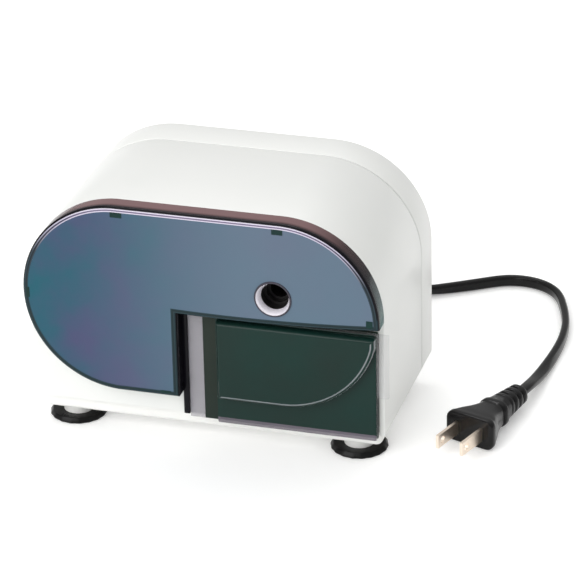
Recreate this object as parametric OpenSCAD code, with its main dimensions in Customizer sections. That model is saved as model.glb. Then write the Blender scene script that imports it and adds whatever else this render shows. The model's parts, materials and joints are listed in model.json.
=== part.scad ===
// Desktop electric pencil sharpener with a smoked front panel, a shavings drawer,
// a planetary twin-cutter head, a shaded-pole motor and a two-blade mains cord.
// All lengths are in millimetres. +X is to the user's right, +Y to the back, +Z up.
// Modules under in_place() are drawn with x = 0 at the middle of the casing,
// y = 0 on its white front face and z = 0 on the table.

/* [Body] */
// Width of the casing
body_w = 165; // [155:1:175]
// Height from the table to the top of the casing
body_h = 117; // [115:1:120]
// Depth from the white front face to the back
body_d = 86; // [84:1:92]
// Radius of the casing's big top corners and of the front panel's round ends
corner_r = 45.5; // [44:0.5:46]
// Wall thickness of the casing shells
wall = 2.5; // [2:0.1:3]
// Depth of the rear cover, measured from the back
rear_d = 19; // [17:1:19]

/* [Front panel] */
// How far the smoked panel stands in front of the white face
panel_proud = 9; // [7:0.5:10]
// Height of the panel's lower edge above the table
panel_low = 26; // [26:0.5:27]
// Left edge of the notch that clears the drawer
notch_x = -10.5; // [-12:0.5:-10]
// Height of the notch's top edge at its lowest point
notch_z = 67.4; // [66:0.1:68]

/* [Pencil inlet] */
// Pencil axis, to the right of the middle
pencil_x = 34.5; // [34:0.5:35]
// Pencil axis, above the table
pencil_z = 80.5; // [80:0.5:81]
// Radius of the bore that guides the pencil
pencil_r = 4.25; // [4:0.05:4.5]

/* [Drawer] */
// Length of the drawer's tray behind its front flange
drawer_len = 52; // [48:1:52]
// How far the finger tab stands out past the casing's side
tab_out = 3; // [2:0.5:4]

/* [Feet and base] */
// Height of the suction feet under the base plate
foot_h = 7; // [6:0.5:8]
// Radius of a suction foot
foot_r = 13.2; // [11:0.1:14]
// Height of the base plate's visible band
base_h = 7; // [6:0.5:8]

/* [Cord] */
// Width of the flat two-core cord
cord_d = 5.8; // [5:0.1:6.5]
// Thickness of the flat two-core cord
cord_t = 3.8; // [3:0.1:4]

/* [Hidden] */
$fn = 64;

// Origin: the middle of the whole body, tab and panel included
mid_x = -tab_out / 2;
mid_y = -(body_d - panel_proud) / 2;

seam_y = body_d - rear_d;
casing_z = foot_h + base_h;
corner_x = body_w / 2 - corner_r;
corner_z = body_h - corner_r;
panel_r = (body_h - panel_low) / 2;
panel_z = body_h - panel_r;
panel_t = 2.5;
notch_crown_r = 830;
notch_crown_x = 12;

// Front frame and rear frame plates
front_plate_y = 4;
front_plate_t = 4;
rear_plate_y = 68.5;
rear_plate_t = 2;
posts = [[-64, 30], [-60, 92], [70, 84], [-6.5, 24]];
post_r = 3;

// Gear train: motor pinion, idler and carrier gear
motor = [-28, 66];
pencil = [pencil_x, pencil_z];
pinion_n = 12;
idler_n = 64;
fine_m = 0.8;
idler_pinion_n = 16;
carrier_n = 60;
coarse_m = 1;
d1 = (pinion_n + idler_n) * fine_m / 2;
d2 = (idler_pinion_n + carrier_n) * coarse_m / 2;
centres = norm(pencil - motor);
along = (d1 * d1 - d2 * d2 + centres * centres) / (2 * centres);
aside = sqrt(d1 * d1 - along * along);
to_pencil = (pencil - motor) / centres;
idler = motor + along * to_pencil + aside * [-to_pencil[1], to_pencil[0]];
coarse_y = 54;
coarse_w = 6;
fine_y = 62;
fine_w = 4;

// Planetary cutter head
ring_n = 30;
planet_n = 10;
planet_m = 1;
planet_d = (ring_n - planet_n) * planet_m / 2;
planet_y = 25.2;
planet_w = 3.4;
tilt = 11.5;
cutter_r = 5.2;
cutter_len = 17.4;
cutter_teeth = 12;
tooth_deep = 0.9;
cutter_bore = 1.55;
pin_r = 1.5;
head_y = 19;
head_end_y = 46.6;
head_t = 2.8;
head_end_t = 5.4;
ring_teeth_y = 24.3;
ring_end_y = 28.4;
ear_angles = [30, 150, 270];

// Motor
core_y = 26;
core_len = 25;
rotor_r = 12.6;
bolt_x = 23;

// Drawer tray and front
drawer_z = 15.2;
drawer_top = 57;
drawer_x0 = 1.6;
drawer_x1 = 78.4;
front_low = 13.2;
front_high = 66.2;

// Start lever
lever_pivot = [pencil_x + 6, 92.7];
// Relief in the guide's bore where the lever's nose reaches the pencil, from the guide's mouth
nose_start = 15;
nose_end = 20.8;

// Cord: every point of a run is [x, y, z, twist of the flat section in degrees]
exit_x = 33;
exit_z = 22;
relief_len = 26;
coil_centre = [-9, 142];
coil_r = 42;
coil_turns = 3;
coil_w = (coil_turns + 1) * cord_d;
tie_gap = 0.15;
plug_face = [113.3, -13, 7.5];
plug_turn = -19;
plug_len = 44.2;
rib_y = 27;
// The grip's width and height at distances from the plug's face
grip = [[0, 25, 15], [3, 25, 15], [7, 21.6, 14.4], [11, 18, 13.6], [15, 15.2, 12.8], [19, 13.4, 12.2],
    [rib_y, 12.2, 11.8]];
bosses = [[-72, 30], [-72, 58], [73, 60]];
foot_x = 67;
foot_inset = 13.5;
rear_foot_x = 58;
feet = [[-foot_x, foot_inset], [foot_x, foot_inset], [-rear_foot_x, body_d - 16], [rear_foot_x, body_d - 16]];
cover_holes = [[-68, 24], [68, 24]];
exit_run = [
    [33, 73.3, 22, 0], [33, 76, 21.98, 0], [33, 81, 21.37, 0], [33, 85.9, 19.89, 0],
    [33, 90.4, 17.59, 0], [33, 94.4, 14.55, 0], [33, 97, 11.95, 0], [33, 99.5, 9.35, 0],
    [33, 103.5, 6.31, 0], [33, 108, 4.01, 0], [33, 112.9, 2.53, 0], [33, 116.9, 1.97, 0],
    [33, 123.5, 1.9, 0], [33, 128, 1.9, 0]
];
plug_run = [
    [24, 114.2, 5.8, 0], [30, 117.9, 6.2, 0], [36, 121.1, 6.1, 0], [42, 123.7, 5.3, 8],
    [48, 125.9, 4.3, 22], [54, 128.1, 3.5, 40], [61, 131.3, 3, 60], [69.5, 135.9, 2.9, 80],
    [78.5, 141.3, 2.9, 90], [88.1, 147.4, 2.9, 90], [94.5, 150.3, 2.9, 90],
    [101.4, 151.2, 2.9, 90], [108.3, 150.1, 2.9, 90], [114.6, 147, 2.9, 90],
    [119.7, 142.2, 2.9, 90], [123.3, 136.2, 2.9, 90], [126, 129.3, 2.9, 90],
    [129.2, 119.5, 2.9, 90], [132, 107, 2.9, 90], [133.2, 92, 2.9, 88], [132.8, 76, 3, 74],
    [131.6, 60, 3.5, 45], [130.6, 48, 4.9, 15], [129.4, 37, 6.8, 0], [127.6, 28.4, 7.5, 0]
];

// ---------- placing helpers ----------

// Moves a piece from the casing's own axes to the part's origin
module in_place() {
    translate([mid_x, mid_y, 0]) children();
}

// Extrudes an X-Z outline from y0 to y1
module along_y(y0, y1) {
    translate([0, y1, 0]) rotate([90, 0, 0]) linear_extrude(y1 - y0) children();
}

// Puts a piece drawn along +Z onto an axis that runs along +Y through [x, z]
module on_axis(at, y) {
    translate([at[0], y, at[1]]) rotate([-90, 0, 0]) children();
}

// A round bar, or a tube, along Y
module bar_y(at, y0, y1, r, bore = 0) {
    on_axis(at, y0) difference() {
        cylinder(h = y1 - y0, r = r);
        if (bore > 0) translate([0, 0, -1]) cylinder(h = y1 - y0 + 2, r = bore);
    }
}

// ---------- outlines ----------

// Front view of the casing: upright sides and two big round top corners
module casing_outline(inset, low) {
    side = body_w / 2 - inset;
    translate([-side, low]) square([2 * side, corner_z - low]);
    translate([-corner_x, low]) square([2 * corner_x, body_h - inset - low]);
    for (s = [-1, 1]) translate([s * corner_x, corner_z]) circle(r = corner_r - inset, $fn = 128);
}

// Racetrack of the front panel
module racetrack(inset) {
    end_x = body_w / 2 - panel_r;
    for (s = [-1, 1]) translate([s * end_x, panel_z]) circle(r = panel_r - inset, $fn = 128);
    translate([-end_x, panel_z - panel_r + inset]) square([2 * end_x, 2 * (panel_r - inset)]);
}

// Lower right quarter taken out of the racetrack, with a slightly crowned top edge
module notch_area(grow) {
    difference() {
        translate([notch_x - grow, 0]) square([body_w, notch_z + 8]);
        translate([notch_crown_x, notch_z + notch_crown_r + grow]) circle(r = notch_crown_r, $fn = 720);
    }
}

module panel_outline(inset) {
    difference() {
        racetrack(inset);
        notch_area(inset);
    }
}

module rounded_rect(size, r) {
    translate([r, 0]) square([size[0] - 2 * r, size[1]]);
    translate([0, r]) square([size[0], size[1] - 2 * r]);
    for (x = [r, size[0] - r], y = [r, size[1] - r]) translate([x, y]) circle(r = r);
}

// ---------- gears ----------

function involute(a) = tan(a) * 180 / PI - a;
function roll(r, base) = r <= base ? 0 : involute(acos(base / r));
function polar(r, a) = [r * cos(a), r * sin(a)];

// Tooth outline of a spur gear: four radii up one flank, four down the other
function gear_points(n, m, tip, root, slack) =
    let (pitch = n * m / 2, base = pitch * cos(20), low = pitch - root * m, high = pitch + tip * m)
    let (start = max(low + 0.05 * m, base))
    let (radii = [low, start, (start + high) / 2, high])
    let (half = 90 / n - slack / pitch * 90 / PI + roll(pitch, base))
    [
        for (i = [0 : n - 1], side = [-1, 1], k = [0 : 3])
            let (r = side < 0 ? radii[k] : radii[3 - k])
            polar(r, 360 * i / n + side * (half - roll(r, base)))
    ];

// A gear with a tooth pointing along the angle face_to
module gear(n, m, width, face_to, bore = 0, tip = 0.9, root = 1.15, slack = 0.14) {
    rotate([0, 0, face_to]) difference() {
        linear_extrude(width) polygon(gear_points(n, m, tip, root, slack));
        if (bore > 0) translate([0, 0, -1]) cylinder(h = width + 2, r = bore);
    }
}

// ---------- casing ----------

module front_casing() in_place() color("whitesmoke") difference() {
    union() {
        difference() {
            along_y(0, seam_y) casing_outline(0, casing_z);
            along_y(wall, seam_y + 1) casing_outline(wall, casing_z - 1);
        }
        for (p = bosses) {
            translate([p[0], p[1], casing_z]) cylinder(h = 14, r = 3.5);
            translate([p[0] < 0 ? p[0] - 9 : p[0] + 2, p[1] - 1.2, casing_z]) cube([7, 2.4, 14]);
        }
    }
    along_y(-1, wall + 0.5) difference() {
        racetrack(6.5);
        notch_area(6.5);
    }
    along_y(-1, wall + 0.5) translate([-1, casing_z - 1]) square([81, 52]);
    bar_y(pencil, -1, wall + 0.5, 9);
    for (p = bosses) translate([p[0], p[1], casing_z - 1]) cylinder(h = 12, r = 1.25);
}

module rear_cover() in_place() color("whitesmoke") difference() {
    along_y(seam_y, body_d) casing_outline(0, casing_z);
    along_y(seam_y - 1, body_d - wall) casing_outline(wall, casing_z - 1);
    // louvres behind the motor
    for (i = [0 : 8]) along_y(body_d - wall - 1, body_d + 1) translate([-58 + 7 * i, 54])
        rounded_rect([2.8, 34], 1.2);
    bar_y([exit_x - mid_x, exit_z], body_d - wall - 1, body_d + 1, 5);
    for (p = cover_holes) {
        bar_y(p, body_d - wall - 1, body_d + 1, 1.6);
        bar_y(p, body_d - 1.6, body_d + 1, 3.2);
    }
}

module base_plate() in_place() color("white") difference() {
    union() {
        hull() {
            translate([-body_w / 2 + 2.5, 2.5, foot_h + 2.5]) linear_extrude(base_h - 2.5)
                rounded_rect([body_w - 5, body_d - 5], 3);
            translate([-body_w / 2 + 4.5, 4.5, foot_h]) linear_extrude(1)
                rounded_rect([body_w - 9, body_d - 9], 2);
        }
        for (p = feet) translate([p[0], p[1], foot_h - 2.8]) cylinder(h = 4, r = 5.8);
    }
    // tray between the rims, open above
    translate([-body_w / 2 + 5.5, 5.5, foot_h + 3]) cube([body_w - 11, body_d - 11, base_h]);
    for (p = feet) {
        translate([p[0], p[1], 0]) cylinder(h = 20, r = 2.55);
        translate([p[0], p[1], foot_h + 3]) cylinder(h = 20, r = 4.2);
    }
    for (p = bosses) translate([p[0], p[1], 0]) cylinder(h = 20, r = 1.7);
    // air slots under the motor
    for (x = [-48, -26], y = [24 : 6 : 60]) translate([x, y, 0]) cube([16, 2, 20]);
}

module front_panel() in_place() color([0.32, 0.38, 0.48]) difference() {
    union() {
        difference() {
            along_y(-panel_proud, 0) panel_outline(0);
            along_y(-panel_proud + panel_t, 1) panel_outline(panel_t);
        }
        // five clips that hook behind the edge of the casing's window
        for (p = [[-51, body_h - 12], [3, body_h - 9.6], [-25, panel_low + 6.8]])
            translate([p[0], -panel_proud + panel_t - 1, p[1]]) cube([6, panel_proud, 2.4]);
        for (p = [[-body_w / 2 + 7.2, panel_z - 4], [body_w / 2 - 11, panel_z + 6]])
            translate([p[0], -panel_proud + panel_t - 1, p[1]]) cube([2.4, panel_proud, 5]);
    }
    bar_y(pencil, -panel_proud - 1, 0, 8.6);
}

module inlet_ring() in_place() color("gainsboro") on_axis(pencil, -panel_proud - 0.4)
    rotate_extrude() polygon([[8.1, 0], [8.6, 0.4], [8.6, 4], [6.5, 4], [6.5, 3.2], [7.5, 0.3]]);

module pencil_guide() in_place() color([0.07, 0.07, 0.07]) difference() {
    on_axis(pencil, -panel_proud + 3.6) rotate_extrude() polygon([
        [6.4, 0], [8.2, 0], [8.2, 8], [12, 8], [12, 9.4], [7.4, 9.4], [7.4, 13.4], [6, 13.4],
        [6, 24], [5, 24], [5, 27.4], [pencil_r, 27.4], [pencil_r, nose_end], [5.2, nose_end],
        [5.2, nose_start], [pencil_r, nose_start], [pencil_r, 8], [5.4, 8], [5.4, 5], [6.4, 5]
    ]);
    // slot for the nose of the start lever
    translate([pencil_x - 3.2, 9.6, pencil_z]) cube([4.8, 5.8, 10]);
}

// ---------- frame ----------

module front_frame() in_place() color([0.12, 0.12, 0.13])
    along_y(front_plate_y, front_plate_y + front_plate_t) difference() {
        casing_outline(3.2, casing_z + 1);
        translate([-2.4, 0]) square([body_w, 63.5]);
        translate(pencil) circle(r = 7.45);
        for (p = posts) translate(p) circle(r = 1.6);
        for (s = [-1, 1]) translate(motor + [s * bolt_x, 0]) circle(r = 1.6);
        translate(motor) circle(r = 12);
        translate(lever_pivot) circle(r = 1.5);
    }

module frame_posts() in_place() color("silver") for (p = posts) difference() {
    union() {
        bar_y(p, front_plate_y + front_plate_t, rear_plate_y, post_r);
        bar_y(p, front_plate_y + 0.5, front_plate_y + front_plate_t, 1.6);
    }
    bar_y(p, rear_plate_y - 8, rear_plate_y + 1, 1.3);
}

module rear_frame() in_place() color("lightsteelblue") along_y(rear_plate_y, rear_plate_y + rear_plate_t)
    difference() {
        intersection() {
            casing_outline(5, 17);
            translate([-74, 17]) rounded_rect([152, 96], 6);
        }
        translate([8, 0]) square([58, 46]);
        translate(pencil) circle(r = 6);
        translate(idler) circle(r = 2);
        translate(motor) circle(r = 5);
        for (p = posts) translate(p) circle(r = 1.7);
    }

module frame_screws() in_place() color("silver") for (p = posts) {
    on_axis(p, rear_plate_y + rear_plate_t) difference() {
        cylinder(h = 2, r = 2.9);
        for (a = [0, 90]) rotate([0, 0, a]) translate([-2, -0.4, 1]) cube([4, 0.8, 2]);
    }
    bar_y(p, rear_plate_y - 6, rear_plate_y + rear_plate_t, 1.3);
}

// ---------- motor ----------

module stator_core() in_place() color([0.35, 0.36, 0.38]) translate([motor[0], 0, motor[1]])
    along_y(core_y, core_y + core_len) difference() {
        union() {
            translate([-28, -38]) rounded_rect([56, 54], 3);
            circle(r = 18);
        }
        circle(r = rotor_r + 0.4);
        translate([-17, -27]) square([34, 12]);
        for (s = [-1, 1]) translate([s * bolt_x, 0]) circle(r = 1.7);
        for (s = [-1, 1]) translate([s * bolt_x, -33]) circle(r = 1.7);
    }

// The room that the core's lower limb takes inside the bobbin
module limb_hole(gap) {
    translate([motor[0] - 30, core_y - gap, motor[1] - 38 - gap])
        cube([60, core_len + 2 * gap, 11 + 2 * gap]);
}

module coil_bobbin() in_place() color("ivory") {
    difference() {
        translate([motor[0] - 16.5, core_y - 1.4, motor[1] - 39.4]) cube([33, core_len + 2.8, 13.8]);
        limb_hole(0.2);
    }
    for (x = [-16.5, 15]) difference() {
        translate([motor[0] + x, core_y - 9, motor[1] - 47]) cube([1.5, core_len + 18, 31.4]);
        limb_hole(0.2);
    }
}

module field_coil() in_place() color([0.72, 0.42, 0.16]) difference() {
    translate([motor[0] - 14.8, core_y - 8, motor[1] - 46]) cube([29.6, core_len + 16, 29.6]);
    translate([motor[0] - 20, core_y - 1.6, motor[1] - 39.6]) cube([40, core_len + 3.2, 14.2]);
}

// Bracket across one end of the motor, with a cup for the bush
module motor_bracket(y, cup_side) {
    difference() {
        union() {
            translate([motor[0] - 27, y, motor[1] - 6]) cube([54, 2, 12]);
            for (s = [-1, 1]) translate([motor[0] + s * bolt_x - 4, min(y, y + cup_side * -5), motor[1] - 6])
                cube([8, 7, 12]);
            bar_y(motor, y, y + 2, 9);
            bar_y(motor, y + (cup_side > 0 ? 0 : -3), y + (cup_side > 0 ? 5 : 2), 6);
        }
        bar_y(motor, y - 10, y + 10, 4);
        for (s = [-1, 1]) bar_y(motor + [s * bolt_x, 0], y - 10, y + 10, 1.7);
    }
}

module motor_bracket_front() in_place() color("silver") motor_bracket(core_y - 7, -1);
module motor_bracket_rear() in_place() color("silver") motor_bracket(core_y + core_len + 5, 1);

module motor_bushes() in_place() color("peru") {
    bar_y(motor, core_y - 10, core_y - 5, 4, 2.05);
    bar_y(motor, core_y + core_len + 5, core_y + core_len + 10, 4, 2.05);
}

module motor_spacers() in_place() color("silver") for (s = [-1, 1])
    bar_y(motor + [s * bolt_x, 0], front_plate_y + front_plate_t, core_y - 7, 3.4, 1.7);

module motor_bolts() in_place() color("dimgray") for (s = [-1, 1]) {
    bar_y(motor + [s * bolt_x, 0], front_plate_y, core_y + core_len + 9.4, 1.6);
    on_axis(motor + [s * bolt_x, 0], core_y + core_len + 7) difference() {
        cylinder(h = 2.4, r = 3.2, $fn = 6);
        translate([0, 0, -1]) cylinder(h = 5, r = 1.6);
    }
}

module rotor_core() in_place() color([0.45, 0.46, 0.48]) {
    bar_y(motor, core_y, core_y + core_len, rotor_r - 0.05, 2);
    for (y = [core_y - 2, core_y + core_len]) bar_y(motor, y, y + 2, rotor_r - 1, 2);
}

module motor_shaft() in_place() color("lightgray") {
    bar_y(motor, 9, fine_y + fine_w + 1.5, 2);
}

module cooling_fan() in_place() color([0.2, 0.2, 0.22]) on_axis(motor, 9.2) difference() {
    union() {
        cylinder(h = 5.5, r = 4.5);
        cylinder(h = 1, r = 16);
        for (a = [0 : 45 : 315]) rotate([0, 0, a]) translate([3.5, -0.6, 0]) cube([12.5, 1.2, 5.5]);
    }
    translate([0, 0, -1]) cylinder(h = 8, r = 2);
}

function heading(from, to) = atan2(to[1] - from[1], to[0] - from[0]);
// On an axis turned to +Y the drawn angle runs the other way round
function drawn(angle) = -angle;

module motor_pinion() in_place() color("goldenrod") on_axis(motor, fine_y - 0.5)
    gear(pinion_n, fine_m, fine_w + 1.5, drawn(heading(motor, idler)), 2);

// ---------- idler ----------

module idler_pin() in_place() color("lightgray") difference() {
    union() {
        bar_y(idler, coarse_y - 3, rear_plate_y + rear_plate_t, 2);
        bar_y(idler, fine_y + fine_w + 0.6, rear_plate_y, 3.5);
    }
    bar_y(idler, coarse_y - 2.2, coarse_y - 1.4, 5, 1.6);
}

module idler_clip() in_place() color("dimgray") on_axis(idler, coarse_y - 2.2) difference() {
    cylinder(h = 0.8, r = 4);
    translate([0, 0, -1]) cylinder(h = 3, r = 1.6);
    translate([-1.2, 0, -1]) cube([2.4, 6, 3]);
}

module idler_gear() in_place() color("ghostwhite") difference() {
    union() {
        on_axis(idler, coarse_y - 0.5)
            gear(idler_pinion_n, coarse_m, fine_y - coarse_y + 1.5,
                 drawn(heading(idler, pencil)) + 180 / idler_pinion_n);
        on_axis(idler, fine_y)
            gear(idler_n, fine_m, fine_w, drawn(heading(idler, motor)) + 180 / idler_n);
    }
    bar_y(idler, coarse_y - 2, fine_y + fine_w + 1, 2.06);
    for (a = [0 : 60 : 300]) on_axis(idler, fine_y - 1) rotate([0, 0, a]) translate([16.5, 0, 0])
        cylinder(h = fine_w + 2, r = 4.5);
}

// ---------- cutter head ----------

module ring_gear() in_place() color([0.75, 0.76, 0.78]) difference() {
    union() {
        bar_y(pencil, 16, ring_end_y, 20);
        for (a = ear_angles) on_axis(pencil, 16) rotate([0, 0, a]) translate([0, -5, 0])
            cube([26, 10, 2]);
    }
    bar_y(pencil, 15, 19, 6.05);
    bar_y(pencil, 18, ring_teeth_y, 18);
    on_axis(pencil, ring_teeth_y - 0.2) rotate([0, 0, 180 / ring_n]) linear_extrude(6)
        polygon(gear_points(ring_n, planet_m, 1.3, 0.6, -0.12));
    for (a = ear_angles) on_axis(pencil, 15) rotate([0, 0, a]) translate([23, 0, 0])
        cylinder(h = 4, r = 1.6);
}

module ring_gear_screws() in_place() color("silver") for (a = ear_angles)
    on_axis(pencil, front_plate_y + front_plate_t) rotate([0, 0, a]) translate([23, 0, 0]) {
        difference() {
            cylinder(h = 8, r = 2.6);
            translate([0, 0, -1]) cylinder(h = 10, r = 1.6);
        }
        cylinder(h = 10, r = 1.6);
        translate([0, 0, 10]) cylinder(h = 1.8, r = 2.8);
    }

module carrier_bush() in_place() color("peru") bar_y(pencil, rear_plate_y - 1.5, rear_plate_y + 3, 6, 4.05);

// Puts a piece drawn along +Z on a cutter's tilted axis; z = 0 is the planet gear's mid plane
module on_cutter(side) {
    translate([pencil_x, planet_y, pencil_z + side * planet_d]) rotate([-side * tilt, 0, 0])
        rotate([-90, 0, 0]) children();
}

module cutter_carrier() in_place() color([0.55, 0.57, 0.6]) difference() {
    union() {
        bar_y(pencil, head_y, head_y + head_t, 16.6);
        bar_y(pencil, head_end_y, head_end_y + head_end_t, 12.5);
        for (s = [-1, 1]) translate([pencil_x + s * 10.4 - 2.4, head_y, pencil_z - 4])
            cube([4.8, head_end_y + head_end_t - head_y, 8]);
    }
    bar_y(pencil, head_y - 1, head_y + head_t + 1, 5.05);
    bar_y(pencil, head_end_y + 2.8, head_end_y + head_end_t + 1, 4);
    for (s = [-1, 1]) on_cutter(s) translate([0, 0, -5.3]) cylinder(h = 29.5, r = pin_r);
}

module cutter_pins() in_place() color("lightgray") for (s = [-1, 1]) on_cutter(s)
    translate([0, 0, -5.3]) cylinder(h = 29.5, r = pin_r);

module carrier_shaft() in_place() color("lightgray") {
    bar_y(pencil, head_end_y + 2.8, rear_plate_y + 4, 4);
}

module carrier_gear() in_place() color("ghostwhite") difference() {
    on_axis(pencil, coarse_y) gear(carrier_n, coarse_m, coarse_w, drawn(heading(pencil, idler)), 4);
    for (a = [0 : 60 : 300]) on_axis(pencil, coarse_y - 1) rotate([0, 0, a]) translate([18, 0, 0])
        cylinder(h = coarse_w + 2, r = 5.5);
}

// Saw-toothed section of a milled cutter
function cutter_points() = [
    for (i = [0 : cutter_teeth - 1], k = [0, 1])
        polar(k == 0 ? cutter_r : cutter_r - tooth_deep, 360 * (i + 0.75 * k) / cutter_teeth)
];

module cutter() {
    difference() {
        union() {
            translate([0, 0, 3]) linear_extrude(height = cutter_len, twist = 70, slices = 14)
                polygon(cutter_points());
            translate([0, 0, -0.1]) cylinder(h = 3.6, r = 3);
        }
        translate([0, 0, -3]) cylinder(h = cutter_len + 8, r = cutter_bore);
    }
}

// Small gear pressed on the front end of a cutter
module cutter_gear(side) {
    translate([0, 0, -planet_w / 2]) difference() {
        gear(planet_n, planet_m, planet_w, side * -90, 0, 0.7, 1.05, 0.42);
        translate([0, 0, planet_w / 2 - 0.1]) cylinder(h = planet_w, r = 3);
        translate([0, 0, -1]) cylinder(h = planet_w + 2, r = cutter_bore);
    }
}

module cutter_upper() in_place() color("lightslategray") on_cutter(1) cutter();
module cutter_lower() in_place() color("lightslategray") on_cutter(-1) rotate([0, 0, 15]) cutter();
module cutter_gear_upper() in_place() color("goldenrod") on_cutter(1) cutter_gear(1);
module cutter_gear_lower() in_place() color("goldenrod") on_cutter(-1) cutter_gear(-1);

// ---------- drawer ----------

module drawer() in_place() color([0.2, 0.32, 0.3]) {
    // tray, open above
    difference() {
        translate([drawer_x0, -1.5, drawer_z])
            cube([drawer_x1 - drawer_x0, drawer_len + 1.5, drawer_top - drawer_z]);
        translate([drawer_x0 + 2, 1, drawer_z + 2])
            cube([drawer_x1 - drawer_x0 - 4, drawer_len - 3, drawer_top]);
    }
    // dark front wall that fills the casing's opening
    along_y(-0.5, 1) translate([-0.6, 14.2]) square([80.2, 50.4]);
    // front: thin flange over the white face, main plate, raised quadrant
    along_y(-2, -0.4) translate([-8.6, front_low]) square([88.6, front_high - front_low]);
    along_y(-4.5, -1.9) translate([6, front_low]) square([74, front_high - front_low]);
    along_y(-panel_proud, -4.4) difference() {
        intersection() {
            racetrack(1);
            translate([7.4, 0]) square([100, front_high - 0.6]);
        }
        translate([80.3, 0]) square([10, 100]);
    }
    // finger tab past the right-hand side
    translate([79, -4.5, 35]) cube([3.5 + tab_out, 2.2, front_high - 35]);
}

module drawer_rails() in_place() color([0.12, 0.12, 0.13]) for (x = [-2.2, 4, 75]) {
    translate([x, 6, foot_h + 3]) cube([x < 0 ? 2.6 : 1.6, 50, x < 0 ? 16 : 4.8]);
}

module drawer_catch() in_place() color("silver") {
    translate([34, 53.6, foot_h + 3]) cube([10, 0.5, 13]);
    translate([34, 53.6, foot_h + 3]) cube([10, 8, 0.5]);
    translate([34, 53.35, 20]) rotate([0, 90, 0]) cylinder(h = 10, r = 0.7);
}

// ---------- switches ----------

module start_switch() in_place() color([0.1, 0.1, 0.1]) difference() {
    translate([48, 8, 80.6]) cube([16, 7, 8]);
    translate([54, 10, 84.6]) cube([3, 4, 8]);
}

module start_plunger() in_place() color("orangered") translate([54.5, 10.5, 87.6]) cube([2, 3, 3.5]);

module start_lever() in_place() color("ivory") difference() {
    union() {
        translate([pencil_x - 1.2, 10.2, pencil_z + 3.4]) cube([2.4, 4.4, 10.1]);
        translate([pencil_x - 1.2, 10.2, 91.4]) cube([24, 4.4, 2.6]);
        bar_y(lever_pivot, 10.2, 14.6, 3);
    }
    bar_y(lever_pivot, 9, 16, 1.55);
}

module lever_pin() in_place() color("lightgray") {
    bar_y(lever_pivot, front_plate_y + 1, 15.4, 1.5);
}

module interlock_switch() in_place() color([0.1, 0.1, 0.1]) difference() {
    translate([56, 56, foot_h + 3]) cube([9, 6, 18]);
    translate([58.5, 55, 19]) cube([4, 5, 4]);
}

module interlock_plunger() in_place() color("orangered") translate([58.8, 52.6, 19.3]) cube([3.4, 5, 3.4]);

// ---------- wiring, feet and fasteners ----------

module terminal_block() in_place() color("ivory") difference() {
    translate([-20, rear_plate_y + rear_plate_t, 30]) cube([24, 9, 9]);
    for (x = [-16, -8, 0]) translate([x, 75, 34.5]) cylinder(h = 9, r = 2);
    for (x = [-16, -8, 0]) bar_y([x, 34.5], 68, 84, 1.5);
}

module thermal_fuse() in_place() color("silver") translate([motor[0], 15.5, 35]) rotate([0, 90, 0]) {
    cylinder(h = 12, r = 2.2, center = true);
    cylinder(h = 26, r = 0.5, center = true);
}

module cord_clamp() in_place() color([0.12, 0.12, 0.13]) difference() {
    translate([exit_x - mid_x - 9, 73, foot_h + 3]) cube([18, 6, 17]);
    bar_y([exit_x - mid_x, exit_z], 70, 84, cord_d / 2);
}

module inner_cord() in_place() color([0.08, 0.08, 0.08]) {
    bar_y([exit_x - mid_x, exit_z], 71.5, body_d - 4, cord_d / 2);
}

module rubber_feet() in_place() color([0.08, 0.08, 0.08]) for (p = feet)
    translate([p[0], p[1], 0]) rotate_extrude() polygon([
        [0, 1.6], [7, 1.2], [foot_r - 1.5, 0], [foot_r - 0.3, 0], [foot_r, 0.8], [foot_r - 1.2, 2.4],
        [9, 3.6], [6, 4.2], [2.5, 4.2], [2.5, 10.3], [3.6, 10.3], [3, 11.8], [0, 11.8]
    ]);

module base_screws() in_place() color("silver") for (p = bosses)
    translate([p[0], p[1], foot_h - 1.6]) {
        difference() {
            cylinder(h = 1.6, r = 3);
            for (a = [0, 90]) rotate([0, 0, a]) translate([-2, -0.4, -1]) cube([4, 0.8, 1.8]);
        }
        translate([0, 0, 1.5]) cylinder(h = 14, r = 1.25);
    }

module cover_screws() in_place() color("silver") for (p = cover_holes) {
    bar_y(p, rear_plate_y + rear_plate_t, body_d - 1, 1.5);
    bar_y(p, body_d - 1.6, body_d - 0.1, 3);
}

// ---------- cord and plug, drawn on the part's own axes ----------

module strain_relief() color([0.08, 0.08, 0.08]) translate([exit_x, body_d + mid_y, exit_z])
    rotate([-90, 0, 0]) rotate_extrude() polygon([
        [0, -4], [4.9, -4], [4.9, 0], [7, 0], [7, 2.2],
        for (i = [0 : 4]) each [[5 - 0.3 * i, 4 + 4 * i], [5 - 0.3 * i, 6.6 + 4 * i],
            [4.1 - 0.2 * i, 7 + 4 * i], [4.1 - 0.2 * i, 8 + 4 * i]],
        [3.2, relief_len], [0, relief_len]
    ]);

// Rings of a flat oval tube swept along points [x, y, z, twist], each ring square to the path
function unit(v) = v / norm(v);
function place(q) = [q[0], q[1], q[2]];
function tangent(p, i) = unit(place(p[min(i + 1, len(p) - 1)]) - place(p[max(i - 1, 0)]));
function tube_rings(p, half_w, half_t, sides) = [
    for (i = [0 : len(p) - 1], k = [0 : sides - 1])
        let (t = tangent(p, i), s = unit(cross(t, [0, 0, 1])), u = cross(s, t), a = 360 * k / sides)
        let (w = p[i][3], across = half_w * cos(a), up = half_t * sin(a))
        place(p[i]) + (across * cos(w) - up * sin(w)) * s + (across * sin(w) + up * cos(w)) * u
];
function tube_sides(n, sides) = [
    for (i = [0 : n - 2], k = [0 : sides - 1])
        let (a = i * sides + k, b = i * sides + (k + 1) % sides)
        [a, a + sides, b + sides, b]
];

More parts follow.
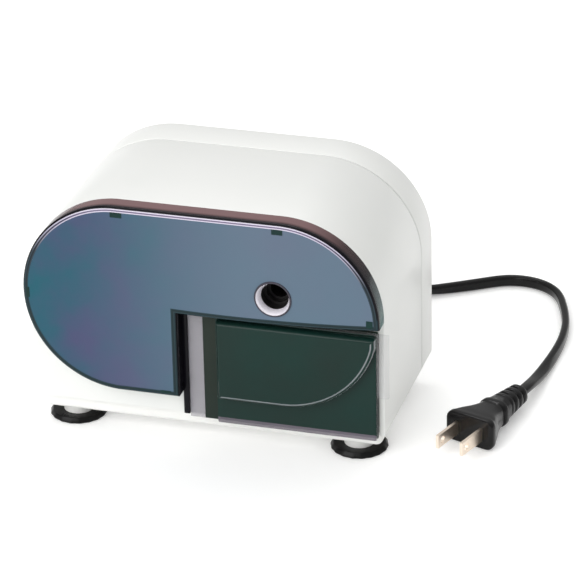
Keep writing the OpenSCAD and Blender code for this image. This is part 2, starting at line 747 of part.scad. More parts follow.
module tube(path, sides = 12) {
    n = len(path);
    polyhedron(
        points = tube_rings(path, cord_d / 2, cord_t / 2, sides),
        faces = concat(
            [[for (k = [0 : sides - 1]) k]],
            [[for (k = [sides - 1 : -1 : 0]) (n - 1) * sides + k]],
            tube_sides(n, sides)
        )
    );
}

module cord_exit_run() color([0.08, 0.08, 0.08]) tube(exit_run);
module cord_plug_run() color([0.08, 0.08, 0.08]) tube(plug_run);

// The wound part of the cord, as one solid ring: turns side by side in two layers
module cord_coil() color([0.1, 0.1, 0.1]) translate([coil_centre[0], coil_centre[1], 0])
    rotate_extrude($fn = 96) translate([coil_r - (coil_turns + 0.5) * cord_d, 0])
        square([(coil_turns + 1) * cord_d, 2 * cord_t]);

module cord_tie() color("black")
    translate([coil_centre[0] - coil_r - cord_d / 2 + coil_w / 2, coil_centre[1], 0])
        difference() {
            translate([-coil_w / 2 - 1.6, -2, 0]) cube([coil_w + 3.2, 4, 2 * cord_t + 1.6]);
            translate([-coil_w / 2 - tie_gap, -3, -1])
                cube([coil_w + 2 * tie_gap, 6, 2 * cord_t + 1 + tie_gap]);
        }

// Puts a piece drawn with the plug's face at the origin and its cord along +Y
module on_plug() {
    translate(plug_face) rotate([0, 0, plug_turn]) children();
}

module plug_section(y, w, h, r) {
    translate([-w / 2, y, -h / 2]) translate([0, 1, 0]) rotate([90, 0, 0]) linear_extrude(1)
        rounded_rect([w, h], r);
}

module plug_body() color([0.08, 0.08, 0.08]) on_plug() {
    for (i = [0 : len(grip) - 2]) hull() {
        plug_section(grip[i][0], grip[i][1], grip[i][2], 4);
        plug_section(grip[i + 1][0], grip[i + 1][1], grip[i + 1][2], 4);
    }
    plug_section(20.6, 14.8, 12.6, 4);
    plug_section(21.4, 14.8, 12.6, 4);
    translate([0, rib_y, 0]) rotate([-90, 0, 0]) rotate_extrude() polygon([
        [0, 0], [6, 0], for (i = [0 : 3]) each [[6 - 0.4 * i, 1.4 + 4.2 * i], [6 - 0.4 * i, 3.8 + 4.2 * i],
            [5.2 - 0.4 * i, 4.2 + 4.2 * i], [5.2 - 0.4 * i, 5.4 + 4.2 * i]],
        [3.4, plug_len - rib_y], [0, plug_len - rib_y]
    ]);
}

module plug_blades() color("gold") on_plug() for (x = [-6.35, 6.35]) difference() {
    translate([x - 0.75, -16.5, -3.2]) cube([1.5, 16.5, 6.4]);
    translate([x, -13, 0]) rotate([0, 90, 0]) cylinder(h = 4, r = 1.6, center = true);
}

front_casing();
rear_cover();
base_plate();
front_panel();
inlet_ring();
pencil_guide();
front_frame();
frame_posts();
rear_frame();
frame_screws();
stator_core();
coil_bobbin();
field_coil();
motor_bracket_front();
motor_bracket_rear();
motor_bushes();
motor_bolts();
motor_spacers();
rotor_core();
motor_shaft();
cooling_fan();
motor_pinion();
idler_pin();
idler_gear();
idler_clip();
ring_gear();
ring_gear_screws();
carrier_bush();
cutter_carrier();
carrier_shaft();
carrier_gear();
cutter_pins();
cutter_upper();
cutter_lower();
cutter_gear_upper();
cutter_gear_lower();
drawer();
drawer_rails();
drawer_catch();
start_switch();
start_plunger();
start_lever();
lever_pin();
interlock_switch();
interlock_plunger();
terminal_block();
thermal_fuse();
cord_clamp();
inner_cord();
rubber_feet();
base_screws();
cover_screws();
strain_relief();
cord_exit_run();
cord_coil();
cord_tie();
cord_plug_run();
plug_body();
plug_blades();
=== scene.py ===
# %% [markdown]
# # A desktop electric pencil sharpener
# The imported CAD model is the frame that everything else is hung on. It comes in first. The
# finished pieces have to stay inside that box.

# %% Load the frame
import json
import math
import bmesh
import bpy
from mathutils import Matrix, Vector


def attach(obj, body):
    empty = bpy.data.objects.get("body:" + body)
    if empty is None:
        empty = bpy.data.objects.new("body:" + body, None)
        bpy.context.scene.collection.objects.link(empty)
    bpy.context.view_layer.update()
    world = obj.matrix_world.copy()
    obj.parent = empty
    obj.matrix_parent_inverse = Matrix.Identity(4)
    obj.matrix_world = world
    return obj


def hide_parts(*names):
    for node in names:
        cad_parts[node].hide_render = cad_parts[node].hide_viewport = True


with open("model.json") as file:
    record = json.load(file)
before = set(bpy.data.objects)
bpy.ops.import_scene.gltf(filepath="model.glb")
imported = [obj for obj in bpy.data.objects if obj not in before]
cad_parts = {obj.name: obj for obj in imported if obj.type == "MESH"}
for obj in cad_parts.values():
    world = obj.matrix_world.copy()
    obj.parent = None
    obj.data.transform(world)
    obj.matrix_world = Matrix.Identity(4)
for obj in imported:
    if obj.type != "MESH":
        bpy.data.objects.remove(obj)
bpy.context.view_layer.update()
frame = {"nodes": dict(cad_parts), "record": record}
record = frame["record"]

# %% [markdown]
# ## Sizes
# The main sizes repeat those of the CAD model, in millimetres. X runs to the right, Y to the
# back and Z up. Everything is drawn in millimetres and brought to metres by one factor.

# %% Sizes of the sharpener
MM = 0.001
HALF_TURN = math.pi
casing_left, casing_right, casing_top, casing_low = -84, 81, 117, 14
corner = 45.5  # radius of the casing's round corners and of the panel's round ends
end_height = 71.5  # height of the middle of the round ends
end_offset = 37  # half the distance between the two round ends
middle_x = -1.5
white_face, panel_front = -38.5, -47.5  # the casing's front, and the panel's front
shell_wall = 2.5
front_shell_end, rear_shell_start, back_face = 28.15, 28.85, 47.5
inlet_x, inlet_z = 33, 80.5
notch_side, notch_top = -12, 67.4
foot_places = ((-68.5, -25), (65.5, -25), (-59.5, 31.5), (56.5, 31.5))
print("casing", casing_right - casing_left, "by", casing_top, "mm,", back_face - white_face, "mm deep")

# %% [markdown]
# ## Camera
# The sharpener is seen from the front, a little to the right and from above, through a long
# lens. The camera is rolled about a degree, so its axes are written out as a matrix instead
# of being aimed with a constraint.

# %% Place the camera
eye = Vector((0.42043, -1.30761, 0.73656))
look_at = Vector((0.02313, 0.01501, 0.05295))
roll = math.radians(-1.19)
forward = (look_at - eye).normalized()
level_right = forward.cross(Vector((0, 0, 1))).normalized()
level_up = level_right.cross(forward)
right = level_right * math.cos(roll) + level_up * math.sin(roll)
up = level_up * math.cos(roll) - level_right * math.sin(roll)
camera_data = bpy.data.cameras.new("camera")
camera_data.lens = 207.4
camera_data.sensor_width = 36
camera = bpy.data.objects.new("camera", camera_data)
turn = Matrix((right, up, -forward)).transposed()
camera.matrix_world = Matrix.Translation(eye) @ turn.to_4x4()
bpy.context.scene.collection.objects.link(camera)
bpy.context.scene.camera = camera
print("camera is", round((look_at - eye).length, 3), "m from its target")

# %% [markdown]
# ## Helpers for edit mode
# Modelling with operators means: select by place, then run the operator. One helper opens
# edit mode and selects what passes a test, and another leaves edit mode again.

# %% Selection helpers
def deselect():
    if bpy.context.mode != "OBJECT":
        bpy.ops.object.mode_set(mode="OBJECT")
    bpy.ops.object.select_all(action="DESELECT")


def activate(obj):
    deselect()
    obj.select_set(True)
    bpy.context.view_layer.objects.active = obj


def middle(item):
    if isinstance(item, bmesh.types.BMVert):
        return item.co.copy()
    return sum((v.co for v in item.verts), Vector()) / len(item.verts)


def pick(obj, kind, test):
    """Opens edit mode and selects the points, edges or faces that pass test(place, item)."""
    activate(obj)
    bpy.ops.object.mode_set(mode="EDIT")
    bpy.ops.mesh.select_mode(type=kind)
    bpy.ops.mesh.select_all(action="DESELECT")
    mesh = bmesh.from_edit_mesh(obj.data)
    items = {"VERT": mesh.verts, "EDGE": mesh.edges, "FACE": mesh.faces}[kind]
    found = 0
    for item in items:
        if test(middle(item), item):
            item.select_set(True)
            found += 1
    mesh.select_flush_mode()
    bmesh.update_edit_mesh(obj.data)
    return found


def done():
    bpy.ops.object.mode_set(mode="OBJECT")


def named(name):
    obj = bpy.context.object
    obj.name = name
    obj.data.name = name
    return obj


def block(name, low, high):
    """A box between two corners in millimetres, with its place in its mesh."""
    deselect()
    bpy.ops.mesh.primitive_cube_add(size=1)
    obj = named(name)
    low, high = Vector(low) * MM, Vector(high) * MM
    size = high - low
    obj.data.transform(Matrix.Translation((low + high) / 2) @ Matrix.Diagonal((*size, 1)))
    return obj


def settle(obj):
    """Puts the object's place into its mesh."""
    activate(obj)
    bpy.ops.object.transform_apply(location=True, rotation=True, scale=True)
    return obj


def drum(name, x, z, y0, y1, r, sides=96):
    """A cylinder along Y through (x, z), in millimetres."""
    deselect()
    bpy.ops.mesh.primitive_cylinder_add(
        vertices=sides, radius=r * MM, depth=(y1 - y0) * MM,
        location=(x * MM, (y0 + y1) / 2 * MM, z * MM), rotation=(HALF_TURN / 2, 0, 0))
    return settle(named(name))


def apply(obj, kind, name="step", **values):
    """Adds a modifier, sets it and applies it."""
    activate(obj)
    modifier = obj.modifiers.new(name, kind)
    for key, value in values.items():
        setattr(modifier, key, value)
    bpy.ops.object.modifier_apply(modifier=modifier.name)
    return obj


def cut(obj, tool, operation="DIFFERENCE"):
    apply(obj, "BOOLEAN", operation=operation, object=tool, solver="EXACT")
    bpy.data.objects.remove(tool)
    return obj


def outward(obj):
    pick(obj, "FACE", lambda p, f: True)
    bpy.ops.mesh.remove_doubles(threshold=0.00001)
    bpy.ops.mesh.normals_make_consistent(inside=False)
    done()
    return obj


def smooth(obj, degrees=35):
    activate(obj)
    bpy.ops.object.shade_smooth_by_angle(angle=math.radians(degrees))
    return obj


def join(name, *objs):
    deselect()
    for o in objs:
        o.select_set(True)
    bpy.context.view_layer.objects.active = objs[0]
    bpy.ops.object.join()
    return named(name)


def finish_piece(obj, body, slot, *nodes):
    """Hangs a finished piece on its body and hides the CAD nodes it stands for."""
    if nodes:
        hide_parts(*nodes)
    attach(obj, body)
    print(obj.name, "rides on", body, "with", len(obj.data.polygons), "faces")
    return obj


# %% [markdown]
# ## The mains cord
# A flat two-core vinyl cord, 5.8 mm wide and 3.8 mm thick, 1.8 m long. It leaves the back
# through a strain relief, drops to the table, and most of it is wound in a neat tied coil
# close behind the sharpener. The last stretch runs round the right-hand side to the plug.
# A flat cord has to stay flat on the table, so its section is swept along the route here
# instead of using a round bevel.

# %% Route of the cord
exit_points = [
    (73.3, 22), (76, 21.98), (81, 21.37), (85.9, 19.89), (90.4, 17.59), (94.4, 14.55), (97, 11.95),
    (99.5, 9.35), (103.5, 6.31), (108, 4.01), (112.9, 2.53), (116.9, 1.97), (123.5, 1.9), (129, 1.9),
    (135, 1.9),
]
exit_run = [(33, y, z, 0) for y, z in exit_points]
plug_run = [
    (28, 116.7, 5.9, 0), (36, 121.1, 6.1, 0), (42, 123.7, 5.3, 8), (48, 125.9, 4.3, 22),
    (54, 128.1, 3.5, 40), (61, 131.3, 3, 60), (69.5, 135.9, 2.9, 80), (78.5, 141.3, 2.9, 90),
    (88.1, 147.4, 2.9, 90), (94.5, 150.3, 2.9, 90), (101.4, 151.2, 2.9, 90),
    (108.3, 150.1, 2.9, 90), (114.6, 147, 2.9, 90), (119.7, 142.2, 2.9, 90),
    (123.3, 136.2, 2.9, 90), (126, 129.3, 2.9, 90), (129.2, 119.5, 2.9, 90), (132, 107, 2.9, 90),
    (133.2, 92, 2.9, 88), (132.8, 76, 3, 74), (131.6, 60, 3.5, 45), (130.6, 48, 4.9, 15),
    (129.4, 37, 6.8, 0), (127.6, 28.4, 7.5, 0),
]
coil_centre = Vector((-9, 142, 0))
coil_columns = [42, 36.1, 30.2, 24.3]
lower_layer, upper_layer = 1.9, 5.75
coil_turns = 6.84
cord_width, cord_thick = 5.8, 3.8


def coil_run():
    """Turns from the outside in on the table, then from the inside out on top of them."""
    plan = [(r, lower_layer) for r in coil_columns] + [(r, upper_layer) for r in reversed(coil_columns)]
    steps = 30
    points = []
    total = int(coil_turns * steps) + 1
    for i in range(total + 1):
        turns = i / steps
        k = min(turns * len(plan) / coil_turns, len(plan) - 1)
        a = min(int(k), len(plan) - 2)
        # a turn keeps its radius for most of its way, then moves over to the next one
        mix = min(max((k - a - 0.7) / 0.3, 0), 1)
        r = plan[a][0] + (plan[a + 1][0] - plan[a][0]) * mix
        z = plan[a][1] + (plan[a + 1][1] - plan[a][1]) * mix
        angle = 2 * math.pi * turns
        points.append((coil_centre.x + r * math.cos(angle), coil_centre.y + r * math.sin(angle), z, 0))
    return points


def rounded(points, times=4):
    """A Catmull-Rom curve through the points."""
    p = [Vector(q) for q in points]
    p = [p[0] * 2 - p[1]] + p + [p[-1] * 2 - p[-2]]
    out = []
    for a, b, c, d in zip(p, p[1:], p[2:], p[3:]):
        for k in range(times):
            t = k / times
            out.append(0.5 * (2 * b + (c - a) * t + (2 * a - 5 * b + 4 * c - d) * t ** 2
                              + (3 * b - a - 3 * c + d) * t ** 3))
    out.append(p[-2])
    return out


route = rounded(exit_run, 4) + rounded(coil_run(), 1) + rounded(plug_run, 4)
length = sum((b - a).xyz.length for a, b in zip(route, route[1:])) * MM
print("the cord's route is", round(length, 3), "m long")

# %% Sweep the flat section along the route
def cord_section(sides=20):
    """Two round cores side by side, drawn as one outline."""
    points = []
    core = cord_thick / 2
    shift = cord_width / 2 - core
    for i in range(sides):
        a = 2 * math.pi * (i + 0.5) / sides
        side = shift if math.cos(a) > 0 else -shift
        points.append((side + core * math.cos(a), core * math.sin(a)))
    return points


def finish_mesh(mesh, name):
    """Turns a bmesh into an object whose faces point outwards."""
    bmesh.ops.recalc_face_normals(mesh, faces=mesh.faces)
    data = bpy.data.meshes.new(name)
    mesh.to_mesh(data)
    mesh.free()
    obj = bpy.data.objects.new(name, data)
    bpy.context.scene.collection.objects.link(obj)
    return obj


def sweep(name, path, section):
    """Carries the section along the path; each point's fourth number turns it, in degrees."""
    mesh = bmesh.new()
    rings = []
    uv = mesh.loops.layers.uv.new("UVMap")
    run = 0.0
    runs = []
    for i, p in enumerate(path):
        if i:
            run += (p - path[i - 1]).xyz.length
        runs.append(run)
        t = (path[min(i + 1, len(path) - 1)] - path[max(i - 1, 0)]).xyz.normalized()
        side = t.cross(Vector((0, 0, 1))).normalized()
        top = side.cross(t)
        twist = math.radians(p.w)
        across = side * math.cos(twist) + top * math.sin(twist)
        upward = top * math.cos(twist) - side * math.sin(twist)
        rings.append([mesh.verts.new((p.xyz + across * a + upward * b) * MM) for a, b in section])
    n = len(section)
    for i in range(len(rings) - 1):
        for k in range(n):
            j = (k + 1) % n
            face = mesh.faces.new((rings[i][k], rings[i][j], rings[i + 1][j], rings[i + 1][k]))
            values = ((k, i), (k + 1, i), (k + 1, i + 1), (k, i + 1))
            for loop, (u, v) in zip(face.loops, values):
                loop[uv].uv = (u / n, runs[v] * MM * 20)
    mesh.faces.new(rings[0])
    mesh.faces.new(list(reversed(rings[-1])))
    return finish_mesh(mesh, name)


mains_cord = smooth(sweep("mains_cord", route, cord_section()), 60)
finish_piece(mains_cord, "housing", "cord_vinyl", "cord_exit_run", "cord_coil", "cord_plug_run")

# %% [markdown]
# ## The plug and its blades
# The plug is a flared moulding: wide at the face where the blades stand, waisted where the
# fingers hold it, with a collar and a ribbed strain relief behind. It is drawn upright
# along +Y from its face and then laid where the cord ends.

# %% Plug body
plug_turn = Matrix.Rotation(math.radians(-19), 4, "Z")
plug_place = Matrix.Translation(Vector((113.3, -13, 7.5)) * MM) @ plug_turn


def loft(name, sections):
    """A skin over rounded rectangles, each (y, width, height, corner radius), along +Y."""
    mesh = bmesh.new()
    rings = []
    corner_steps = 8
    for y, w, h, r in sections:
        ring = []
        for cx, cz, start in ((1, 1, 0), (-1, 1, 90), (-1, -1, 180), (1, -1, 270)):
            for k in range(corner_steps + 1):
                a = math.radians(start + k * 90 / corner_steps)
                ring.append(mesh.verts.new(Vector((
                    cx * (w / 2 - r) + r * math.cos(a), y, cz * (h / 2 - r) + r * math.sin(a))) * MM))
        rings.append(ring)
    n = len(rings[0])
    for a, b in zip(rings, rings[1:]):
        for k in range(n):
            j = (k + 1) % n
            mesh.faces.new((a[k], a[j], b[j], b[k]))
    mesh.faces.new(rings[0])
    mesh.faces.new(rings[-1])
    return finish_mesh(mesh, name)


plug = loft("plug_grip", [
    (0, 23.4, 13.8, 3.2), (0.4, 24.4, 14.6, 3.6), (1, 24.8, 14.9, 3.8), (2.8, 24.8, 14.9, 3.8),
    (3.4, 24, 14.7, 3.8), (5, 22.9, 14.5, 4), (7, 21.4, 14.3, 4.2), (9, 19.6, 13.9, 4.4),
    (11, 17.9, 13.5, 4.6), (13, 16.3, 13.1, 4.6), (15, 15, 12.7, 4.6), (17, 14, 12.4, 4.5),
    (19.4, 13.3, 12.1, 4.4), (19.8, 14.4, 12.5, 4.6), (20.3, 14.9, 12.6, 4.8), (22.2, 14.9, 12.6, 4.8),
    (22.7, 14.3, 12.4, 4.8), (23, 13.2, 12, 4.6), (27, 12.1, 11.7, 4.8),
])
ribs = [(26.9, 10.4, 10.2, 4.4)]
first_rib, rib_pitch, rib_width, rib_taper = 27.2, 4.2, 12.4, 0.75
for k in range(4):
    w = rib_width - rib_taper * k
    y = first_rib + rib_pitch * k
    ribs += [(y, w - 0.5, w - 0.9, w * 0.42), (y + 0.5, w, w - 0.4, w * 0.45),
             (y + 2.3, w - 0.1, w - 0.5, w * 0.45), (y + 2.8, w - 0.8, w - 1.2, w * 0.4),
             (y + 3, w - 2.2, w - 2.5, w * 0.36), (y + 3.9, w - 2.4, w - 2.7, w * 0.35)]
ribs += [(44.2, 6.8, 5.2, 2.2)]
plug_neck = loft("plug_neck", ribs)
plug = join("plug_moulding", plug, plug_neck)
plug.data.transform(plug_place)
smooth(plug, 40)
finish_piece(plug, "housing", "cord_vinyl", "plug_body")

# %% [markdown]
# ## Tie round the cord's coil
# A thin strap goes round the turns of the coil. It is a box with its two end faces inset and
# bridged, which leaves a band.

# %% Tie round the coil
tie = block("coil_tie", (-48.2, 140, 0.2), (-19, 144, 9.2))
pick(tie, "FACE", lambda p, f: abs(f.normal.y) > 0.5)
bpy.ops.mesh.inset(thickness=0.0012)
bpy.ops.mesh.bridge_edge_loops()
done()
outward(tie)
tie = smooth(apply(tie, "BEVEL", width=0.0004, segments=2), 40)
finish_piece(tie, "housing", "cord_vinyl", "cord_tie")

# %% [markdown]
# ## Floor, light and background
# A plain pale floor, a bright even sky and two very wide suns give the almost shadow-free
# look of a catalogue picture, with only a soft dark line under the base. One small light
# behind adds a glint on the plug. The Standard view keeps the whites white.

# %% Floor and lights
deselect()
bpy.ops.mesh.primitive_plane_add(size=6, location=(0, 0, 0))
floor = named("floor")
world = bpy.data.worlds.new("studio")
bpy.context.scene.world = world
world.use_nodes = True
world.node_tree.nodes["Background"].inputs["Color"].default_value = (1, 1, 1, 1)
world.node_tree.nodes["Background"].inputs["Strength"].default_value = 0.62


def soft_light(name, place, aim, size, power):
    """A rectangular light at a place, aimed at a point."""
    data = bpy.data.lights.new(name, "AREA")
    data.shape = "RECTANGLE"
    data.size, data.size_y = size
    data.energy = power
    obj = bpy.data.objects.new(name, data)
    direction = Vector(aim) - Vector(place)
    obj.rotation_euler = direction.to_track_quat("-Z", "Y").to_euler()
    obj.location = place
    bpy.context.scene.collection.objects.link(obj)


def wide_sun(name, direction, strength, spread):
    """A sun seen as a disc of the given angle, which gives soft shadow edges."""
    data = bpy.data.lights.new(name, "SUN")
    data.energy = strength
    data.angle = math.radians(spread)
    obj = bpy.data.objects.new(name, data)
    obj.rotation_euler = Vector(direction).to_track_quat("-Z", "Y").to_euler()
    bpy.context.scene.collection.objects.link(obj)


wide_sun("key", (0.42, 0.80, -0.50), 1.9, 50)
wide_sun("top", (-0.1, -0.25, -1), 0.6, 70)
soft_light("glint", (-0.35, 0.9, 1.5), (0, 0, 0.05), (0.9, 0.25), 4)
bpy.context.scene.view_settings.view_transform = "Standard"
print("floor and lights are placed")

# %% [markdown]
# ## Shared effects
# Three node groups are used by many finishes: a mottle that drifts between two colours, a
# fine moulded skin that gives a height and an uneven gloss, and brushed lines for metal.
# Each group only puts out colours, values or heights, and the shader stays in the material.

# %% Node groups
def new_group(name, inputs, outputs):
    group = bpy.data.node_groups.new(name, "ShaderNodeTree")
    for label, kind, value in inputs:
        socket = group.interface.new_socket(label, in_out="INPUT", socket_type=kind)
        socket.default_value = value
    for label, kind in outputs:
        group.interface.new_socket(label, in_out="OUTPUT", socket_type=kind)
    return group, group.nodes.new("NodeGroupInput"), group.nodes.new("NodeGroupOutput")


FLOAT, COLOUR, VECTOR = "NodeSocketFloat", "NodeSocketColor", "NodeSocketVector"


def build_mottle():
    group, given, result = new_group("mottle", [
        ("Place", VECTOR, (0, 0, 0)), ("First", COLOUR, (1, 1, 1, 1)),
        ("Second", COLOUR, (0, 0, 0, 1)), ("Scale", FLOAT, 20.0), ("Contrast", FLOAT, 1.0)],
        [("Color", COLOUR), ("Mask", FLOAT)])
    noise = group.nodes.new("ShaderNodeTexNoise")
    noise.inputs["Detail"].default_value = 4
    spread = group.nodes.new("ShaderNodeMapRange")
    spread.inputs["From Min"].default_value = 0.3
    spread.inputs["From Max"].default_value = 0.7
    amount = group.nodes.new("ShaderNodeMath")
    amount.operation = "MULTIPLY"
    mix = group.nodes.new("ShaderNodeMix")
    mix.data_type = "RGBA"
    link = group.links.new
    link(given.outputs["Place"], noise.inputs["Vector"])
    link(given.outputs["Scale"], noise.inputs["Scale"])
    link(noise.outputs["Fac"], spread.inputs["Value"])
    link(spread.outputs["Result"], amount.inputs[0])
    link(given.outputs["Contrast"], amount.inputs[1])
    link(amount.outputs[0], mix.inputs["Factor"])
    link(given.outputs["First"], mix.inputs["A"])
    link(given.outputs["Second"], mix.inputs["B"])
    link(mix.outputs["Result"], result.inputs["Color"])
    link(amount.outputs[0], result.inputs["Mask"])
    return group


def build_skin():
    group, given, result = new_group("moulded_skin", [
        ("Place", VECTOR, (0, 0, 0)), ("Grain", FLOAT, 1500.0), ("Gloss", FLOAT, 0.3),
        ("Unevenness", FLOAT, 0.06)], [("Height", FLOAT), ("Roughness", FLOAT)])
    grain = group.nodes.new("ShaderNodeTexNoise")
    grain.inputs["Detail"].default_value = 3
    patches = group.nodes.new("ShaderNodeTexNoise")
    patches.inputs["Scale"].default_value = 35
    shift = group.nodes.new("ShaderNodeMath")
    shift.operation = "SUBTRACT"
    shift.inputs[1].default_value = 0.5
    scale = group.nodes.new("ShaderNodeMath")
    scale.operation = "MULTIPLY_ADD"
    link = group.links.new
    link(given.outputs["Place"], grain.inputs["Vector"])
    link(given.outputs["Grain"], grain.inputs["Scale"])
    link(given.outputs["Place"], patches.inputs["Vector"])
    link(patches.outputs["Fac"], shift.inputs[0])
    link(shift.outputs[0], scale.inputs[0])
    link(given.outputs["Unevenness"], scale.inputs[1])
    link(given.outputs["Gloss"], scale.inputs[2])
    link(grain.outputs["Fac"], result.inputs["Height"])
    link(scale.outputs[0], result.inputs["Roughness"])
    return group


def build_lines():
    group, given, result = new_group("brushed_lines", [
        ("Place", VECTOR, (0, 0, 0)), ("Fineness", FLOAT, 900.0), ("Gloss", FLOAT, 0.3),
        ("Unevenness", FLOAT, 0.15)], [("Height", FLOAT), ("Roughness", FLOAT)])
    stretch = group.nodes.new("ShaderNodeMapping")
    stretch.inputs["Scale"].default_value = (0.05, 1, 1)
    noise = group.nodes.new("ShaderNodeTexNoise")
    noise.inputs["Detail"].default_value = 2
    scale = group.nodes.new("ShaderNodeMath")
    scale.operation = "MULTIPLY_ADD"
    link = group.links.new
    link(given.outputs["Place"], stretch.inputs["Vector"])
    link(stretch.outputs["Vector"], noise.inputs["Vector"])
    link(given.outputs["Fineness"], noise.inputs["Scale"])
    link(noise.outputs["Fac"], scale.inputs[0])
    link(given.outputs["Unevenness"], scale.inputs[1])
    link(given.outputs["Gloss"], scale.inputs[2])
    link(noise.outputs["Fac"], result.inputs["Height"])
    link(scale.outputs[0], result.inputs["Roughness"])
    return group


mottle_group, skin_group, lines_group = build_mottle(), build_skin(), build_lines()
print("node groups:", mottle_group.name, skin_group.name, lines_group.name)

# %% [markdown]
# ## Finishes
# Every plastic here is a mottle of two near colours, a moulded grain in the bump and an
# uneven gloss. Metals use the brushed lines instead. Numbers that are the same all over a
# surface are set on the shader itself.

# %% Finish builders
def start_material(name):
    material = bpy.data.materials.new(name)
    material.use_nodes = True
    nodes = material.node_tree.nodes
    shader = nodes["Principled BSDF"]
    place = nodes.new("ShaderNodeTexCoord").outputs["Object"]
    return material, nodes, material.node_tree.links.new, shader, place


def put_group(nodes, group, place, **values):
    """Places a shared effect, gives it its own values and hands it the object's coordinates."""
    node = nodes.new("ShaderNodeGroup")
    node.node_tree = group
    for key, value in values.items():
        node.inputs[key].default_value = value
    node.id_data.links.new(place, node.inputs["Place"])
    return node


def opaque(colour):
    return (*colour, 1)


def finish_surface(nodes, link, shader, colour, surface, bump, constants):
    """Joins colour, gloss and height to the shader, and sets what is the same all over."""
    height = nodes.new("ShaderNodeBump")
    height.inputs["Strength"].default_value = bump * 10
    height.inputs["Distance"].default_value = 0.0001
    link(colour.outputs["Color"], shader.inputs["Base Color"])
    link(surface.outputs["Roughness"], shader.inputs["Roughness"])
    link(surface.outputs["Height"], height.inputs["Height"])
    link(height.outputs["Normal"], shader.inputs["Normal"])
    for key, value in constants.items():
        shader.inputs[key.replace("_", " ")].default_value = value


def plastic(name, first, second, scale=20, gloss=0.3, uneven=0.06, grain=1500, bump=0.02, **constants):
    """A moulded plastic: two near colours, an uneven gloss and a fine moulded grain."""
    material, nodes, link, shader, place = start_material(name)
    colour = put_group(nodes, mottle_group, place, First=opaque(first), Second=opaque(second), Scale=scale)
    skin = put_group(nodes, skin_group, place, Grain=grain, Gloss=gloss, Unevenness=uneven)
    finish_surface(nodes, link, shader, colour, skin, bump, constants)
    return material


def metal(name, first, second, gloss=0.25, uneven=0.15, fine=900, scale=60, bump=0.03, **constants):
    """A metal: two near colours under brushed lines."""
    material, nodes, link, shader, place = start_material(name)
    colour = put_group(nodes, mottle_group, place, First=opaque(first), Second=opaque(second), Scale=scale)
    lines = put_group(nodes, lines_group, place, Fineness=fine, Gloss=gloss, Unevenness=uneven)
    finish_surface(nodes, link, shader, colour, lines, bump, {"Metallic": 1.0, **constants})
    return material


def wear(obj, *materials):
    obj.data.materials.clear()
    for m in materials:
        obj.data.materials.append(m)
    return obj


# %% [markdown]
# ## Smoked plastics
# The panel is a smoked plastic over a dark space. Its colour runs from teal and violet
# clouds at the left to a lighter, even slate by the pencil's end. The skirt and the rims change
# with height instead: painted light along the top where they catch the sky, painted shade
# lower down. A colour ramp on the object's own height does that. These finishes stay simple
# node chains, because each has its own ramp.

# %% Finish of the smoked face
def drift(nodes, source, low, high):
    """A value that runs from 0 to 1 between two places."""
    node = nodes.new("ShaderNodeMapRange")
    node.inputs["From Min"].default_value, node.inputs["From Max"].default_value = low, high
    node.id_data.links.new(source, node.inputs["Value"])
    return node


def blend(nodes, amount):
    """A colour mix driven by a value."""
    node = nodes.new("ShaderNodeMix")
    node.data_type = "RGBA"
    node.id_data.links.new(amount.outputs["Result"], node.inputs["Factor"])
    return node


def panel_finish():
    """Teal and violet clouds that turn to an even slate towards the pencil's end."""
    material, nodes, link, shader, place = start_material("smoked_face")
    split = nodes.new("ShaderNodeSeparateXYZ")
    link(place, split.inputs["Vector"])
    along = drift(nodes, split.outputs["X"], -0.072, 0.03)
    along.interpolation_type = "SMOOTHSTEP"
    clouds = put_group(nodes, mottle_group, place, First=(0.008, 0.085, 0.118, 1),
                       Second=(0.052, 0.058, 0.130, 1), Scale=34)
    slate = put_group(nodes, mottle_group, place, First=(0.088, 0.140, 0.190, 1),
                      Second=(0.100, 0.128, 0.185, 1), Scale=20)
    face_colour = blend(nodes, along)
    skin = put_group(nodes, skin_group, place, Gloss=0.16, Unevenness=0.05)
    link(clouds.outputs["Color"], face_colour.inputs["A"])
    link(slate.outputs["Color"], face_colour.inputs["B"])
    link(face_colour.outputs["Result"], shader.inputs["Base Color"])
    link(skin.outputs["Roughness"], shader.inputs["Roughness"])
    shader.inputs["Specular IOR Level"].default_value = 0.22
    return material


# %% Finishes that change with height
def ramp(nodes, amount, stops):
    """A colour ramp with one stop for each (place, colour) pair."""
    node = nodes.new("ShaderNodeValToRGB")
    node.id_data.links.new(amount.outputs["Result"], node.inputs["Fac"])
    while len(node.color_ramp.elements) < len(stops):
        node.color_ramp.elements.new(0.5)
    for element, (where, colour) in zip(node.color_ramp.elements, stops):
        element.position = where
        element.color = opaque(colour)
    return node


def height_finish(name, stops, front_edge=None, alpha=1.0, specular=0.25):
    """A gloss plastic coloured by height, as painted light and shade; a front edge, as two depths, fades
    to near black, a painted shade line.
    """
    material, nodes, link, shader, place = start_material(name)
    split = nodes.new("ShaderNodeSeparateXYZ")
    link(place, split.inputs["Vector"])
    colours = ramp(nodes, drift(nodes, split.outputs["Z"], 0.070, 0.117), stops)
    if front_edge:
        fade = blend(nodes, drift(nodes, split.outputs["Y"], *front_edge))
        fade.inputs["A"].default_value = (0.004, 0.003, 0.005, 1)
        link(colours.outputs["Color"], fade.inputs["B"])
        link(fade.outputs["Result"], shader.inputs["Base Color"])
    else:
        link(colours.outputs["Color"], shader.inputs["Base Color"])
    skin = put_group(nodes, skin_group, place, Gloss=0.12, Unevenness=0.04)
    link(skin.outputs["Roughness"], shader.inputs["Roughness"])
    shader.inputs["Alpha"].default_value = alpha
    shader.inputs["Specular IOR Level"].default_value = specular
    return material


def smoke(name, first, second, scale, gloss, specular, **constants):
    """A smooth gloss plastic with no grain in it."""
    return plastic(name, first, second, scale, gloss, 0.03, 2000, 0.0,
                   Specular_IOR_Level=specular, **constants)
